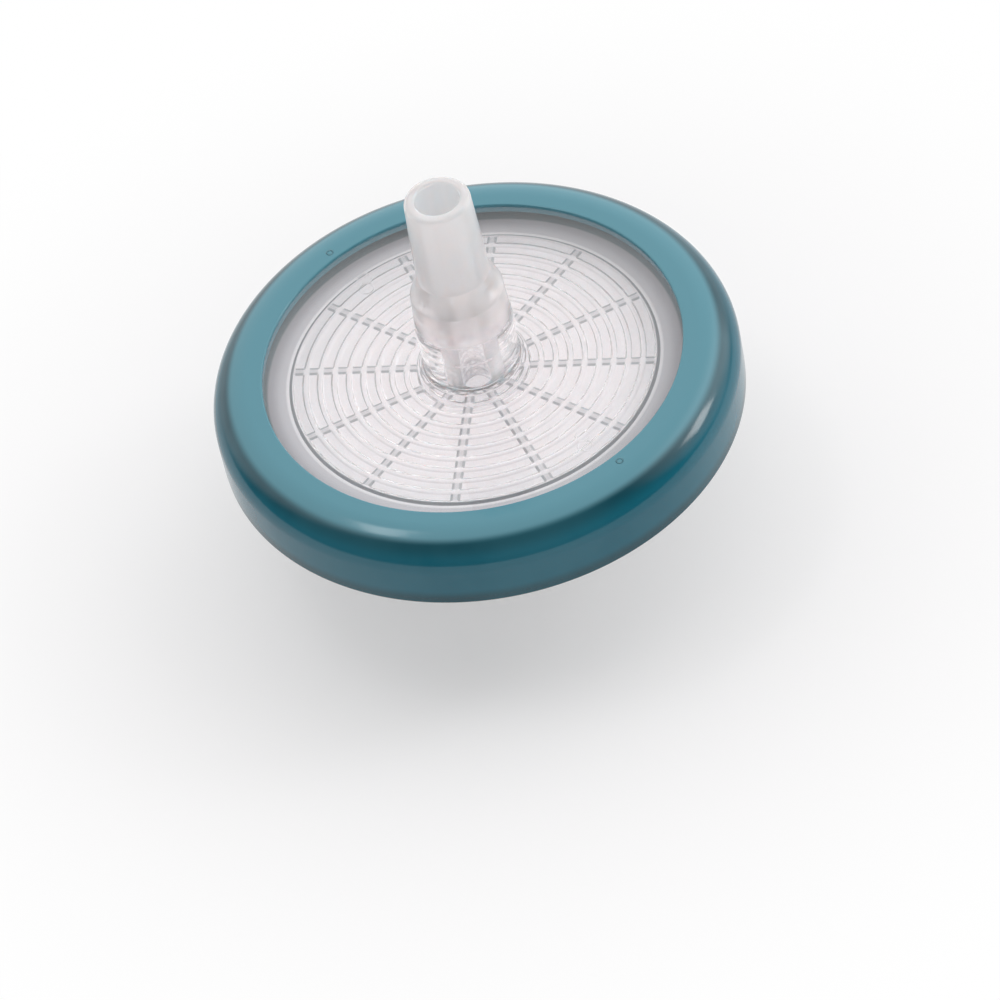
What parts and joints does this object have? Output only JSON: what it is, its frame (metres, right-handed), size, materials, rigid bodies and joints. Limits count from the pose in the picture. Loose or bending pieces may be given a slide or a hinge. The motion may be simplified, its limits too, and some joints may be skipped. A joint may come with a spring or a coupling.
{
  "type": "syringe filter",
  "caption": "Round disc filter for lab tubing and syringes: clear ribbed housing, a stepped hose stem on each side, and a coloured ring moulded round its rim.",
  "frame": {"origin": "centre of the outlet stem's flat end, which the filter stands on", "axes": "+Z along the filter's axis, from the outlet stem to the inlet stem"},
  "size_m": [0.071, 0.071, 0.058],
  "materials": {
    "clear_housing": "clear moulded plastic, faintly milky where it is thick",
    "ring": "smooth teal moulding with a soft gloss",
    "membrane": "matt white film",
    "web": "matt off-white bonded fibre"
  },
  "bodies": {
    "root": {"inlet_housing": "clear_housing", "outlet_housing": "clear_housing", "overmould_ring": "ring", "filter_membrane": "membrane", "backing_web": "web"}
  },
  "joints": []
}
